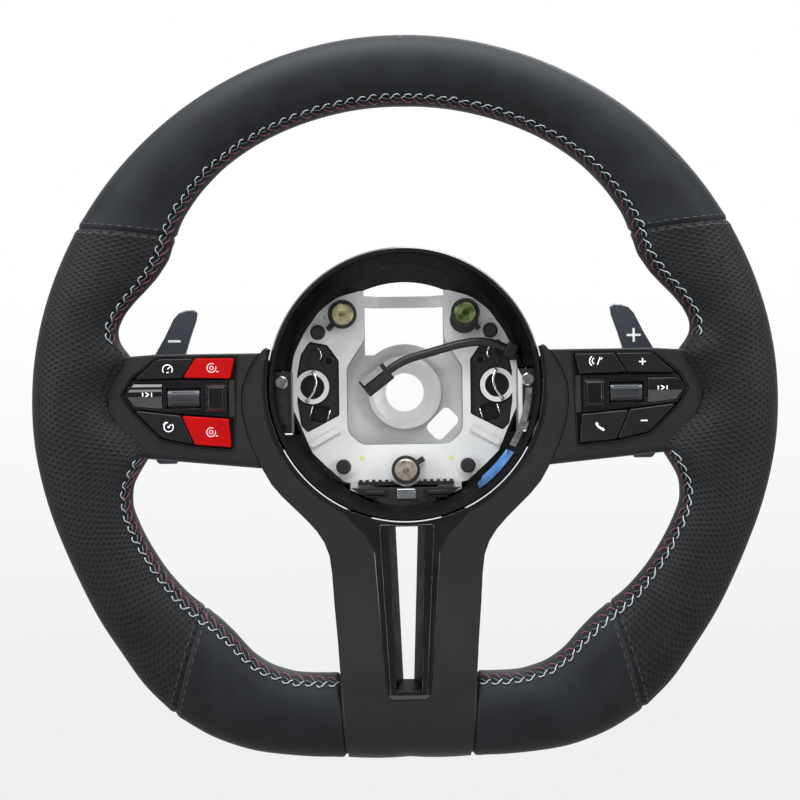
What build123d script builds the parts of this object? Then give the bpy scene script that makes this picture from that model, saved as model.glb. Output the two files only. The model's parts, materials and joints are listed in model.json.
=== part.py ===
from build123d import *
from math import sin, cos, tan, radians, degrees, hypot, atan2, sqrt
import os

os.makedirs("parts", exist_ok=True)

# Three-spoke steering wheel, airbag module removed.
# X to the driver's right, Z up in the plane of the wheel, Y along the steering column.
# The driver sits on the -Y side.  The origin is the centre of the column bore.  Units: mm.

# ---------------------------------------------------------------- driving dimensions
RIM_Y = -45.0            # centre plane of the rim tube
RIM_HALF_DEPTH = 15.5    # half of the rim tube along Y
LEATHER_T = 1.4          # leather thickness
SEAM_GAP = 0.4           # gap between two leather pieces
CORE_R = 5.5             # cast bar inside the rim
RIM_STEP = 3.0           # degrees between rim sections

# outer and inner edge of the rim seen from the driver: (degrees from the top, distance)
RIM_OUTER = [(0, 178.5), (15, 178.8), (30, 179.6), (42, 180.6), (50, 181.4), (61, 182.7),
             (71, 184.1), (84, 185.9), (98, 187.1), (114, 187.1), (120, 188.2), (126, 190.4),
             (132, 192.4), (138, 196.2), (144, 197.8), (150, 197.4), (156, 194.7), (162, 190.0),
             (170, 184.6), (180, 182.0)]
RIM_INNER = [(0, 142.5), (17, 143.1), (30, 143.8), (38, 143.6), (45, 142.3), (51, 140.4),
             (56, 137.4), (60, 134.8), (64.5, 136.0), (68, 138.9), (71, 142.3), (74, 145.2),
             (77, 146.6), (79.5, 144.5), (82.5, 136.0), (86, 141.5), (91, 147.0), (95, 143.5),
             (99, 133.5), (102.5, 129.0), (105.5, 136.5), (108, 143.0), (112, 147.2),
             (118, 147.8), (126, 148.0), (132, 147.4), (136, 146.2), (140, 145.4), (144, 146.6),
             (149, 150.2), (153, 151.2), (158, 149.6), (164, 145.0), (170, 141.5), (180, 139.5)]
# the seams between leather pieces lean: half of the lean at each place round the rim
RIM_LEAN = [(0, 0), (35, 0.6), (59, 4.0), (74, 1.0), (90, 0), (120, 1.0), (140, 4.0),
            (156, 1.0), (168.3, 2.2), (174, 1.0), (180, 0)]
UPPER_SEAM = 59.0
LOWER_SEAM = 140.0
TRIM_SEAM = 168.3        # where the leather ends at the bottom spoke trim

BORE_R = 10.0            # plain wall of the column bore
BORE_FRONT = -6.0
BORE_PLAIN_END = 6.0
BOSS_REAR = 16.0
SPLINE_TEETH = 36

PLATE_FRONT = -24.0
PLATE_REAR = -19.0
DISH_FRONT = -8.0
DISH_REAR = -3.0

HUB_Z = 4.0              # centre of the hub surround above the bore
HUB_R = 68.5
HUB_FRONT = -50.0

ARM_FRONT = -40.0
ARM_REAR = -33.0
COVER_FRONT = -52.0
COVER_REAR = -25.8

PRESS = 1.0              # travel of each push button
PADDLE_AXIS_X = 80.0
PADDLE_AXIS_Y = -14.5

CLEAR = 0.3


# ---------------------------------------------------------------- helpers
def at(table, x):
    """Straight-line reading of a (position, value) table."""
    for (x0, v0), (x1, v1) in zip(table, table[1:]):
        if x <= x1:
            return v0 + (v1 - v0) * (x - x0) / (x1 - x0)
    return table[-1][1]


def rim_section(angle, inset=0.0, circle_r=None):
    """Cross-section of the rim tube at an angle from the top, right side positive."""
    side = 1.0 if angle >= 0 else -1.0
    a = abs(angle)
    lean = at(RIM_LEAN, a)
    ao = radians(a + lean)
    ai = radians(a - lean)
    ro = at(RIM_OUTER, min(a + lean, 180))
    ri = at(RIM_INNER, max(a - lean, 0))
    xo, zo = side * ro * sin(ao), ro * cos(ao)
    xi, zi = side * ri * sin(ai), ri * cos(ai)
    half = hypot(xo - xi, zo - zi) / 2
    ux, uz = (xo - xi) / (2 * half), (zo - zi) / (2 * half)
    place = Plane(origin=((xo + xi) / 2, RIM_Y, (zo + zi) / 2), x_dir=(ux, 0, uz),
                  z_dir=(uz, 0, -ux))
    if circle_r:
        return place * Circle(circle_r)
    return place * Ellipse(half - inset, RIM_HALF_DEPTH - inset)


def rim_loft(start, stop, inset=0.0, circle_r=None):
    """Rim tube between two angles from the top, ruled between sections every few degrees."""
    inner = [i * RIM_STEP for i in range(int(180 / RIM_STEP) + 1)]
    angles = [start] + [a for a in inner if start + 0.9 < a < stop - 0.9] + [stop]
    tube = None
    for k in range(0, len(angles) - 1, 8):
        span = loft([rim_section(a, inset, circle_r) for a in angles[k:k + 9]], ruled=True)
        tube = span if tube is None else tube + span
    return tube


def facing(y):
    """Plane across the column at depth y: sketch X is +X, sketch Y is +Z, normal is -Y."""
    return Plane(origin=(0, y, 0), x_dir=(1, 0, 0), z_dir=(0, -1, 0))


def slab(shape, y_front, y_rear):
    """Extrude a sketch from its rear depth to its front depth."""
    return extrude(facing(y_rear) * shape, amount=y_rear - y_front)


def rounded(points, radius):
    """Polygon with all its corners rounded."""
    face = make_face(Polyline(*points, close=True))
    return fillet(face.vertices(), radius) if radius else face


def disc(x, z, r):
    return Pos(x, z) * Circle(r)


def block(x0, x1, y0, y1, z0, z1):
    return Pos((x0 + x1) / 2, (y0 + y1) / 2, (z0 + z1) / 2) * Box(x1 - x0, y1 - y0, z1 - z0)


def peg(x, z, r, y_front, y_rear):
    """Round bar along the column direction."""
    return slab(disc(x, z, r), y_front, y_rear)


def flip(shape):
    """The same piece on the other side of the wheel."""
    return shape.mirror(Plane.YZ)


def hub_turned(profile):
    """Turn a (radius, y) profile round the axis of the hub surround."""
    face = Plane(origin=(0, 0, HUB_Z), x_dir=(1, 0, 0), z_dir=(0, 0, 1)) * make_face(
        Polyline(*profile, close=True))
    return revolve(face, axis=Axis((0, 0, HUB_Z), (0, 1, 0)), revolution_arc=360)


def save(name, *pieces):
    solids = []
    for piece in pieces:
        solids.extend(piece.solids())
    shape = solids[0] if len(solids) == 1 else Compound(children=solids)
    shape.label = name
    export_step(shape, f"parts/{name}.step")
    box = shape.bounding_box()
    print(f"{name:26s} {len(solids):3d} solids {shape.volume:10.1f} mm3 "
          f"x {box.min.X:7.1f} {box.max.X:7.1f}  y {box.min.Y:7.1f} {box.max.Y:7.1f}  "
          f"z {box.min.Z:7.1f} {box.max.Z:7.1f}")


# ---------------------------------------------------------------- rim
gap_deg = degrees(SEAM_GAP / 2 / 165.0)

ARM_HOLE = block(130, 163, ARM_FRONT - 0.8, ARM_REAR + 0.8, -20.8, 11.8)


def leather(start, stop):
    """Leather shell between two seams."""
    outside = rim_loft(start, stop)
    inside = rim_loft(max(start - 0.6, -0.5), stop + 0.6, LEATHER_T)
    return outside - inside


leather_half = leather(0, UPPER_SEAM - gap_deg)
save("leather_top", leather_half + flip(leather_half))
leather_right = leather(UPPER_SEAM + gap_deg, LOWER_SEAM - gap_deg) - ARM_HOLE
save("leather_right_grip", leather_right)
save("leather_left_grip", flip(leather_right))
leather_bottom = leather(LOWER_SEAM + gap_deg, TRIM_SEAM - gap_deg)
save("leather_bottom_right", leather_bottom)
save("leather_bottom_left", flip(leather_bottom))

# ---------------------------------------------------------------- hub armature (casting)
PLATE_HALF = [(22.5, 52), (34.5, 48.8), (43.5, 41.7), (51, 31), (56.5, 20), (58.6, 6),
              (57.6, -7), (52, -20), (50, -25), (47.5, -30.5), (41, -37), (31.5, -45.5),
              (25.5, -46.8)]
WINDOW = [(48.5, 26.5), (39.3, 24.6), (33.6, 16.5), (33.6, -11.5), (50, -20), (53.3, -16.5),
          (55, -5), (55, 10), (53, 20)]
EYE = (47.3, 3.2)
STUDS = [(31.3, 40.0), (-31.3, 40.0), (0.0, -39.6)]
BUMPERS = [(44.0, 31.0), (-44.0, 31.0), (31.7, -37.7), (-31.7, -37.7)]
POD_SCREW = (61.8, 5.5)

plate_points = PLATE_HALF + [(-x, z) for x, z in reversed(PLATE_HALF)]
recess_half = [(20.5, 46), (20.5, 27), (29.6, 13), (29.6, -20), (22.5, -26.7)]
recess_points = recess_half + [(-x, z) for x, z in reversed(recess_half)]
recess = rounded(recess_points, 8.0)
wall = rounded([(23.3, 46), (23.3, 28.5), (32.6, 14), (32.6, -21.5), (24, -29.6),
                (-24, -29.6), (-32.6, -21.5), (-32.6, 14), (-23.3, 28.5), (-23.3, 46)], 1.5)
upper_window = make_face(Polyline((-20.4, 19.5), (20.4, 19.5), (20.4, 60), (-20.4, 60),
                                  close=True)) - Circle(25.0)

plate_face = rounded(plate_points, 0)
plate_face = fillet([v for v in plate_face.vertices() if abs(v.X) > 34 and v.Y > -21], 20.0)
plate_face = fillet([v for v in plate_face.vertices() if v.Y < -44 or v.Y > 51], 3.0)
armature = slab(plate_face, PLATE_FRONT, PLATE_REAR)
armature += slab(wall, PLATE_FRONT, DISH_REAR)
for x, z in STUDS:
    armature += peg(x, z, 8.6, PLATE_FRONT - 0.8, PLATE_REAR)
for x, z in BUMPERS:
    armature += peg(x, z, 5.8, PLATE_FRONT - 0.8, PLATE_REAR)
armature -= slab(recess, PLATE_FRONT - 2, DISH_FRONT)
armature -= slab(upper_window, PLATE_FRONT - 2, DISH_REAR + 2)
armature -= block(-20.5, 20.5, PLATE_FRONT - 2, DISH_REAR + 2, 44, 60)
for side in (1, -1):
    hole = make_face(Polyline(*[(side * x, z) for x, z in WINDOW], close=True))
    hole = fillet(hole.vertices(), 1.5) - disc(side * EYE[0], EYE[1], 8.7)
    hole = hole - Pos(side * 52.5, EYE[1] + 0.3) * Rectangle(10, 8)
    armature -= slab(hole, PLATE_FRONT - 2, PLATE_REAR + 2)
    armature -= peg(side * EYE[0], EYE[1], 6.2, PLATE_FRONT - 2, PLATE_REAR + 2)

# bridge strip across the top window, stepped back towards the column
bridge = make_face(Polyline((-22.5, -24), (-18.5, -24), (-13.5, -16.5), (13.5, -16.5),
                            (18.5, -24), (22.5, -24), (22.5, -20.5), (20.2, -20.5),
                            (15.2, -13), (-15.2, -13), (-20.2, -20.5), (-22.5, -20.5),
                            close=True))
armature += Pos(0, 0, 43.6) * extrude(bridge, amount=5.7)

# boss with countersunk mouth, plain bore and splined rear
armature += peg(0, 0, 19.0, -12, BOSS_REAR)
armature -= peg(0, 0, BORE_R, -13, BORE_PLAIN_END)
mouth = Plane.XY * make_face(Polyline((0, -12.5), (16.9, -12.5), (BORE_R, BORE_FRONT),
                                      (0, BORE_FRONT), close=True))
armature -= revolve(mouth, axis=Axis.Y, revolution_arc=360)
teeth = []
for i in range(2 * SPLINE_TEETH):
    r = BORE_R + (0.1 if i % 2 else 0.9)
    turn = radians(180.0 * i / SPLINE_TEETH)
    teeth.append((r * cos(turn), r * sin(turn)))
armature -= slab(make_face(Polyline(*teeth, close=True)), BORE_PLAIN_END, BOSS_REAR + 1)

# harness window beside the boss, and stiffening ribs on the lower corners
harness_hole = Pos(19.6, -16.6) * Rot(0, 0, 45) * RectangleRounded(16.0, 10.8, 3.0)
armature -= slab(harness_hole, DISH_FRONT - 1, DISH_REAR + 1)
for side in (1, -1):
    rib = Pos(side * 41.0, -22.5) * Rot(0, 0, side * -30) * RectangleRounded(17.0, 3.0, 1.2)
    armature += slab(rib, PLATE_FRONT - 1.0, PLATE_FRONT + 1)
for x, z in STUDS:
    armature -= peg(x, z, 3.1, PLATE_FRONT - 2, PLATE_REAR + 1)
for x, z in BUMPERS:
    armature -= peg(x, z, 2.1, PLATE_FRONT - 2, PLATE_REAR + 1)

# spokes and the bar inside the rim
LEG = [(16, -43), (28, -43), (31, -76), (28.5, -100), (28, -158), (14.5, -158), (17.8, -76)]
LEG_LOW = [(17.8, -72), (30.6, -72), (31, -76), (28.5, -100), (27.5, -158), (14.5, -158),
           (17.8, -78)]
for side in (1, -1):
    outer = 166 * side
    inner = 57 * side
    arm = block(min(inner, outer), max(inner, outer), ARM_FRONT, ARM_REAR, -20, 11)
    riser = block(min(inner, 61.5 * side), max(inner, 61.5 * side), ARM_FRONT, PLATE_REAR,
                  -20, 11)
    leg_top = make_face(Polyline(*[(side * x, z) for x, z in
                                   [(16, -43), (28, -43), (30.6, -78), (17.8, -78)]], close=True))
    leg_low = make_face(Polyline(*[(side * x, z) for x, z in LEG_LOW], close=True))
    riser_low = make_face(Polyline(*[(side * x, z) for x, z in
                                     [(17.8, -72), (30.6, -72), (30.6, -78), (17.8, -78)]],
                                   close=True))
    armature += arm + riser
    armature += slab(leg_top, PLATE_FRONT, PLATE_REAR)
    armature += slab(riser_low, ARM_FRONT, PLATE_REAR)
    armature += slab(leg_low, ARM_FRONT, ARM_REAR)
    armature -= peg(side * POD_SCREW[0], POD_SCREW[1], 1.8, ARM_FRONT - 1, ARM_REAR + 1)

core_half = rim_loft(0, 180, 0, CORE_R)
armature = armature + core_half + flip(core_half)
save("armature", armature)

# ---------------------------------------------------------------- foam inside the leather
foam_half = rim_loft(0, 180, LEATHER_T + CLEAR) - rim_loft(0, 180, 0, CORE_R + 0.1)
foam_half -= block(130, 168, ARM_FRONT - 0.2, ARM_REAR + 0.2, -20.2, 11.2)
leg_hole = make_face(Polyline((14.2, -130), (28.8, -130), (28.8, -160), (14.2, -160), close=True))
foam_half -= slab(leg_hole, ARM_FRONT - 0.2, ARM_REAR + 0.2)
SLOT_ROOM = block(-10.2, 10.2, -70, -28, -147.8, -130)
foam_half -= SLOT_ROOM
save("rim_foam", foam_half + flip(foam_half))

# ---------------------------------------------------------------- hub surround and rear cover
surround = hub_turned([(68.5, -47.5), (67.6, -50), (65.6, -50), (64.8, -47.5), (61.6, -30.2),
                       (65.6, -30.2)])
bowl = hub_turned([(65.6, -30), (61.6, -30), (54.2, 8), (50, 12), (47, 12), (47, 14.5),
                   (51.2, 14.5), (57.2, 9.4)])
for side in (1, -1):
    near, far = sorted((side * 50.0, side * 75.0))
    surround -= block(near, far, -47.4, -30, -21, 12.2)
    bowl -= block(near, far, -31, PLATE_REAR + 1, -21, 12)
    near, far = sorted((side * 15.2, side * 31.4))
    bowl -= block(near, far, PLATE_FRONT - 1, PLATE_REAR + 1, -76, -44)
bowl -= block(-24, 24, 8, 16, 40, 66)
save("hub_surround", surround)

WING = [(59, 17), (76, 16.5), (126, 14.5), (131, 4), (131, -12), (124, -26), (72, -31.5),
        (58, -27)]
for side in (1, -1):
    wing = rounded([(side * x, z) for x, z in WING], 3.0)
    near, far = sorted((side * 50.0, side * 62.2))
    bowl += slab(wing, -25.5, -23) - peg(0, HUB_Z, 62.3, -27, -20) - block(
        near, far, -27, -20, -21, 12)
save("rear_cover", bowl)

# ---------------------------------------------------------------- lower spoke trim
TRIM_HALF = [(60, 24.6), (66.5, 24.2), (70.2, 22.0), (74.0, 17.6), (77.9, 11), (80.8, 3), (81.2, -6), (79.8, -15),
             (76.5, -26), (71, -38), (67, -45), (62, -51), (56, -57), (50, -62.8),
             (44.8, -68.6), (41, -74.5), (38.6, -81), (37.4, -90), (36.4, -105), (34.9, -122),
             (33.8, -138), (33.2, -150), (32.6, -160.7)]
INSERT_HALF = [(33, -57), (27.5, -64.2), (20.5, -71), (16.5, -79.7), (13.1, -127),
               (11.1, -146.5), (10.4, -150), (8.6, -151.6)]
INSERT_R = 71.3          # outer radius of the gloss crescent under the hub surround


def both_sides(half):
    return [(x, z) for x, z in half] + [(-x, z) for x, z in reversed(half)]


def spoke_depth(shift):
    """Side profile of the lower spoke: flat by the hub, rising to the rim's front."""
    front = [(-51, 40), (-51, -84), (-52.3, -98), (-54.4, -112), (-57.2, -127), (-59.2, -139),
             (-60.2, -149), (-60.5, -161), (-60.5, -170)]
    front = [(y + shift, z) for y, z in front]
    profile = make_face(Polyline(*front, (-31, -170), (-31, 40), close=True))
    return Plane(origin=(-90, 0, 0), x_dir=(0, 1, 0), z_dir=(1, 0, 0)) * profile


trim_face = make_face(Polyline(*both_sides(TRIM_HALF), close=True)) - disc(0, HUB_Z, INSERT_R)
trim_face -= make_face(Polyline((-66, 26), (66, 26), (60, 60), (-60, 60), close=True))
insert_hole = make_face(Polyline(*both_sides(INSERT_HALF), close=True))
trim = slab(trim_face, -62, -31) & extrude(spoke_depth(0), amount=180)
channel_half = [(76, 10), (78, 2), (78.4, -6), (77, -15), (73.8, -25), (68.5, -37),
                (64.5, -43.5), (59.8, -49.2), (54, -55), (48, -60.8), (42.5, -66.8),
                (38.3, -73.5), (36, -80.5), (34.8, -90), (33.8, -105), (32.4, -122),
                (31.4, -138), (31, -146)]
channel_face = make_face(Polyline(*both_sides(channel_half), close=True))
channel_face -= disc(0, HUB_Z, INSERT_R + 2.4)
ridge_half = [(36, -50), (36, -58), (30, -66), (22.6, -72.8), (18.8, -80.5), (15.5, -127),
              (13.6, -150)]
channel_face -= make_face(Polyline(*both_sides(ridge_half), close=True))
trim -= slab(channel_face, -62, -30) & extrude(spoke_depth(2.5), amount=180)
trim -= slab(insert_hole, -70, -28)
rim_end = rim_loft(150, 180, LEATHER_T)
trim -= rim_end + flip(rim_end)
for side in (1, -1):
    near, far = sorted((side * 60.0, side * 90.0))
    trim -= block(near, far, ARM_FRONT - 0.8, -30, -21, 12)
    near, far = sorted((side * 14.0, side * 31.6))
    trim -= block(near, far, ARM_FRONT - 0.6, -18, -165, -71)
wrap_half = rim_loft(TRIM_SEAM + gap_deg, 180)
wrap_half -= rim_loft(TRIM_SEAM - 1, 180, LEATHER_T)
tube_hole = make_face(Polyline(*both_sides([(13.0, -120), (10.0, -147.6)]), close=True))
wrap = wrap_half + flip(wrap_half) - slab(insert_hole, -70, -44)
wrap -= slab(tube_hole, -70, -33.4)
for side in (1, -1):
    near, far = sorted((side * 13.8, side * 29.2))
    wrap -= block(near, far, ARM_FRONT - 0.8, ARM_REAR + 0.8, -165, -130)
trim += wrap
for side in (1, -1):
    outside = [(side * x, z) for x, z in [(33.2, -141), (36, -141), (36, -166), (31.2, -166)]]
    trim -= slab(make_face(Polyline(*outside, close=True)), -70, -28)
save("lower_trim", trim)

# gloss insert: a flange flush with the trim round a tapered see-through slot
flange = offset(make_face(Polyline(*both_sides(INSERT_HALF), close=True)), -0.3,
                kind=Kind.INTERSECTION)
sweep_face = Pos(0, -39) * Rectangle(180, 122)
flange += sweep_face & disc(0, HUB_Z, INSERT_R - 0.3)
flange -= disc(0, HUB_Z, HUB_R + 0.3)
tube = make_face(Polyline(*both_sides([(12.6, -62), (12.6, -70), (9.6, -147)]), close=True))
tube -= disc(0, HUB_Z, HUB_R + 0.3)
insert = slab(flange, -62, -44) + slab(tube, -62, -34)
insert &= extrude(spoke_depth(0), amount=180)
lip = make_face(Polyline(*both_sides([(13.4, -66), (13.4, -71), (8.9, -149.4)]), close=True))
lip -= disc(0, HUB_Z, HUB_R + 2)
insert += slab(lip, -63, -48) & extrude(spoke_depth(-0.8), amount=180)
mouth_face = facing(-63) * make_face(Polyline((-11.4, -66.5), (11.4, -66.5), (6.8, -147.6),
                                              (-6.8, -147.6), close=True))
exit_face = facing(-32) * make_face(Polyline((-5.2, -67.5), (5.2, -67.5), (2.4, -145),
                                             (-2.4, -145), close=True))
insert -= loft([mouth_face, exit_face])
rim_near = rim_loft(150, 180, LEATHER_T + 0.1)
insert -= rim_near + flip(rim_near) - SLOT_ROOM
insert = max(insert.solids(), key=lambda part: part.volume)
save("slot_insert", insert)

# ---------------------------------------------------------------- spoke covers
POD_ROUND = 7.0
POD_HOLE = [(82.7, 19.1), (123.3, 18.9), (136.4, 8.9), (141.5, 0.5), (136.4, -8.1),
            (121.5, -22.8), (105.0, -26.4), (84.8, -28.3)]
cover_face = make_face(Polyline((55, 20.2), (124, 20.2), (150, 18.5), (156, 0), (152, -32),
                                (128, -31.8), (71, -37.3), (55, -38.8), close=True))
cover = slab(cover_face, COVER_FRONT, COVER_REAR)
front_edges = cover.faces().sort_by(Axis.Y)[0].edges()
cover = fillet([edge for edge in front_edges if edge.center().Z > 15], 0.9)
front_edges = cover.faces().sort_by(Axis.Y)[0].edges()
cover = fillet([edge for edge in front_edges if edge.center().Z < -30], 4.5)
hollow = make_face(Polyline((84, 17.8), (124, 17.8), (134, 12), (146, 0), (134, -24),
                            (127, -28.8), (78, -33.6), (82.5, -20), (84, -6), close=True))
cover -= slab(hollow, -49, COVER_REAR + 1)
pod_face = make_face(Polyline(*POD_HOLE, close=True))
pod_face = fillet([v for v in pod_face.vertices() if 120 < v.X < 125], POD_ROUND)
cover -= slab(pod_face, -56, -41.6)
cover -= block(60, 160, ARM_FRONT - 0.6, ARM_REAR + 0.6, -20.6, 11.6)
trim_clear = make_face(Polyline(*both_sides([(x + 0.3, z) for x, z in TRIM_HALF]), close=True))
cover -= slab(trim_clear, -56, -20)
cover -= rim_loft(63, 117, -CLEAR)
cover -= block(150.5, 200, -60, -20, -60, 60)
cover = max(cover.solids(), key=lambda part: part.volume)
save("spoke_cover_right", cover)
save("spoke_cover_left", flip(cover))

# ---------------------------------------------------------------- switch pods
BUTTON_FRONT = -54.0
BUTTON_REAR = -48.6
BASE_FRONT = -46.4
BASE_REAR = -42.0
STEM = 3.0
ROLLER_X0, ROLLER_X1, ROLLER_Y, ROLLER_Z, ROLLER_R = 101.6, 117.8, -48.2, -1.6, 5.6
BUTTONS = {
    "button_top_outer": [(134.2, 7.7), (122.7, 17.8), (104.4, 17.9), (110.4, 8.5)],
    "button_top_inner": [(103.8, 17.9), (84.2, 17.8), (86.6, 7.7), (109.8, 8.5)],
    "button_low_outer": [(134.5, -7.4), (111.4, -10.3), (104.9, -24.8), (120.8, -21.2)],
    "button_low_inner": [(110.8, -10.4), (87.6, -12.2), (86.4, -26.4), (104.3, -24.8)],
}
KEY = [(120.4, 5.7), (120.4, -6.9), (134.4, -5.3), (138.2, 0.3), (134.2, 5.9)]
BAR = [(139.6, 0.3), (134.9, 7.0), (88.0, 7.0), (88.0, -11.2), (135.2, -6.6)]


def middle(points):
    return (sum(x for x, z in points) / len(points), sum(z for x, z in points) / len(points))


pod = make_face(Polyline(*POD_HOLE, close=True))
pod = fillet([v for v in pod.vertices() if 120 < v.X < 125], POD_ROUND)
pod = offset(pod, -0.25, kind=Kind.INTERSECTION)
pod_room = offset(pod, -0.6, kind=Kind.INTERSECTION)
housing = slab(pod, -51.6, BASE_REAR) - slab(pod_room, -53, BASE_FRONT)
housing -= block(ROLLER_X0 - 0.5, ROLLER_X1 + 0.5, -50, -41, ROLLER_Z - 6.2, ROLLER_Z + 6.2)
housing += block(84.6, 87.4, -52.6, -46, -11.2, 7.0)
for x0, x1 in ((ROLLER_X0 - 2.4, ROLLER_X0 - 0.5), (ROLLER_X1 + 0.5, ROLLER_X1 + 2.2)):
    housing += block(x0, x1, -50.6, -44, ROLLER_Z - 3, ROLLER_Z + 3)
housing -= Pos((ROLLER_X0 + ROLLER_X1) / 2, ROLLER_Y, ROLLER_Z) * Rot(0, 90, 0) * Cylinder(
    1.06, 22)
for points in list(BUTTONS.values()) + [KEY]:
    x, z = middle(points)
    housing -= block(x - STEM / 2 - CLEAR, x + STEM / 2 + CLEAR, -48, -41,
                     z - STEM / 2 - CLEAR, z + STEM / 2 + CLEAR)
save("switch_housing_right", housing)
save("switch_housing_left", flip(housing))

bar = slab(make_face(Polyline(*BAR, close=True)), -53.2, -50.8)
bar -= block(ROLLER_X0 - 0.6, ROLLER_X1 + 0.6, -54, -50, ROLLER_Z - 5.3, ROLLER_Z + 5.3)
bar -= slab(offset(make_face(Polyline(*KEY, close=True)), 0.35, kind=Kind.INTERSECTION), -54, -50)
end_block = block(89.0, 98.4, -54.6, -53.0, -8.4, 4.6)
bar += chamfer(end_block.faces().sort_by(Axis.Y)[0].edges(), 1.3)
for x0, x1, z0, z1 in ((88.4, 90.0, -10.6, -9.0), (88.4, 90.0, 5.0, 6.4),
                       (96.0, 98.0, -10.0, -8.6), (96.0, 98.0, 5.0, 6.4)):
    bar += block(x0, x1, -51.0, BASE_FRONT, z0, z1)
save("gloss_bar_right", bar)
save("gloss_bar_left", flip(bar))

moving = dict(BUTTONS)
moving["mode_key"] = KEY
for name, points in moving.items():
    x, z = middle(points)
    face = make_face(Polyline(*points, close=True))
    if "outer" in name:
        face = fillet([v for v in face.vertices() if 120 < v.X < 125], POD_ROUND - 1)
    sharp = [v for v in face.vertices() if not 112 < v.X < 133]
    face = fillet(sharp, 0.8)
    if name == "mode_key":
        cap = slab(face, -54.2, BUTTON_REAR)
        cap &= Pos(129, -54.2 + 11, z) * Rot(0, 90, 0) * Cylinder(11, 30)
    else:
        cap = slab(face, BUTTON_FRONT, BUTTON_REAR)
        cap = chamfer(cap.faces().sort_by(Axis.Y)[0].edges(), 0.4)
    cap += block(x - STEM / 2, x + STEM / 2, BUTTON_REAR - 0.5, -43.4, z - STEM / 2, z + STEM / 2)
    save(name + "_right", cap)
    save(name + "_left", flip(cap))

mid_x = (ROLLER_X0 + ROLLER_X1) / 2
roller = Pos(mid_x, ROLLER_Y, ROLLER_Z) * Rot(0, 90, 0) * Cylinder(
    ROLLER_R, ROLLER_X1 - ROLLER_X0 - 0.6)
for i in range(18):
    turn = 2 * 180.0 * i / 18
    groove = Rot(turn, 0, 0) * Pos(0, 0, ROLLER_R) * Box(12.0, 0.7, 0.8)
    roller -= Pos(mid_x, ROLLER_Y, ROLLER_Z) * groove
roller += Pos(mid_x, ROLLER_Y, ROLLER_Z) * Rot(0, 90, 0) * Cylinder(
    1.0, ROLLER_X1 - ROLLER_X0 + 4.0)
save("roller_right", roller)
save("roller_left", flip(roller))

# ---------------------------------------------------------------- shift paddles
BLADE = [(113, 20.5), (110.2, 29.8), (107.1, 38.6), (106.5, 42.7), (108.3, 44.2),
         (112.7, 43.8), (116.1, 42.4), (118.9, 39.3), (123.6, 29.8), (129, 20.5),
         (131.3, 10), (131.8, -5), (130.6, -20), (128.6, -34), (127, -35.4), (118.5, -35.4),
         (117, -33.8), (113, -20), (103, -12), (86, -12), (86, 2), (103, 4)]
blade = slab(make_face(Polyline(*BLADE, close=True)), -16.2, -12.8)
blade = chamfer(blade.faces().sort_by(Axis.Y)[0].edges(), 0.6)
paddle = blade + Pos(PADDLE_AXIS_X, PADDLE_AXIS_Y, -5) * Cylinder(4.2, 14)
paddle += block(PADDLE_AXIS_X, 88, -16.2, -12.8, -12, 2)
paddle -= Pos(PADDLE_AXIS_X, PADDLE_AXIS_Y, -5) * Cylinder(1.56, 20)
save("paddle_right", paddle)
save("paddle_left", flip(paddle))

bracket = block(72, 88, -23, -20.4, -16.8, 6.8)
for z0, z1 in ((2.4, 6.8), (-16.8, -12.4)):
    bracket += block(75.4, 84.6, -20.6, -10.6, z0, z1)
bracket -= Pos(PADDLE_AXIS_X, PADDLE_AXIS_Y, -5) * Cylinder(1.55, 30)
save("paddle_bracket_right", bracket)
save("paddle_bracket_left", flip(bracket))
pin = Pos(PADDLE_AXIS_X, PADDLE_AXIS_Y, -5) * Cylinder(1.5, 24)
save("paddle_pins", pin, flip(pin))

# ---------------------------------------------------------------- airbag mounting pieces
studs = []
rings = []
STUD_TABS = (-50, 225, 32)
for (x, z), turn in zip(STUDS, STUD_TABS):
    stud = peg(x, z, 5.7, -34.0, -25.2) + peg(x, z, 3.0, -26, PLATE_REAR + 2.5)
    stud = chamfer(stud.faces().sort_by(Axis.Y)[0].edges(), 0.6)
    stud -= peg(x, z, 4.2, -35, -33.4)
    stud -= peg(x, z, 1.7, -35, -27)
    studs.append(stud)
    ring = slab(disc(x, z, 7.3) - disc(x, z, 5.8), -32.4, -24.9)
    if x > 20:
        skirt = disc(x - 0.6, z - 3.2, 7.2) - disc(x, z, 5.8)
        ring += slab(skirt, -29.5, -24.9)
    tab = Pos(x, z) * Rot(0, 0, turn) * Pos(8.6, 0) * Rectangle(4.6, 2.6)
    ring += slab(tab, -29.5, -24.9)
    rings.append(ring)
save("airbag_studs", *studs)
save("stud_rings", *rings)

bumpers = []
for x, z in BUMPERS:
    bumper = peg(x, z, 3.8, -27.6, -24.9) + peg(x, z, 2.0, -25, PLATE_REAR + 1.5)
    bumpers.append(chamfer(bumper.faces().sort_by(Axis.Y)[0].edges(), 0.7))
save("rubber_bumpers", *bumpers)

insert_face = make_face(Polyline(*WINDOW, close=True))
front_face = offset(insert_face, -0.5, kind=Kind.INTERSECTION) - disc(EYE[0], EYE[1], 9.2)
front_face -= Pos(52.5, EYE[1] + 0.3) * Rectangle(11, 9)
side_insert = slab(insert_face, PLATE_REAR + 0.2, -15.5)
side_insert += slab(front_face, -22.5, PLATE_REAR + 0.4)
side_insert -= peg(EYE[0], EYE[1], 5.2, -24, -17)
slot = Pos(43.6, -10.6) * Rot(0, 0, 15) * RectangleRounded(8.0, 9.5, 0.8)
side_insert -= slab(slot, -24, -17)
side_insert += peg(38.8, 16.2, 3.2, -23.6, -21)
side_insert -= peg(38.8, 16.2, 1.6, -25, -20)
side_insert += slab(Pos(47.0, 19.0) * Rot(0, 0, 20) * Rectangle(2.0, 9.0), -23.4, -21)
side_insert = max(side_insert.solids(), key=lambda part: part.volume)
save("side_insert_right", side_insert)
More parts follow.
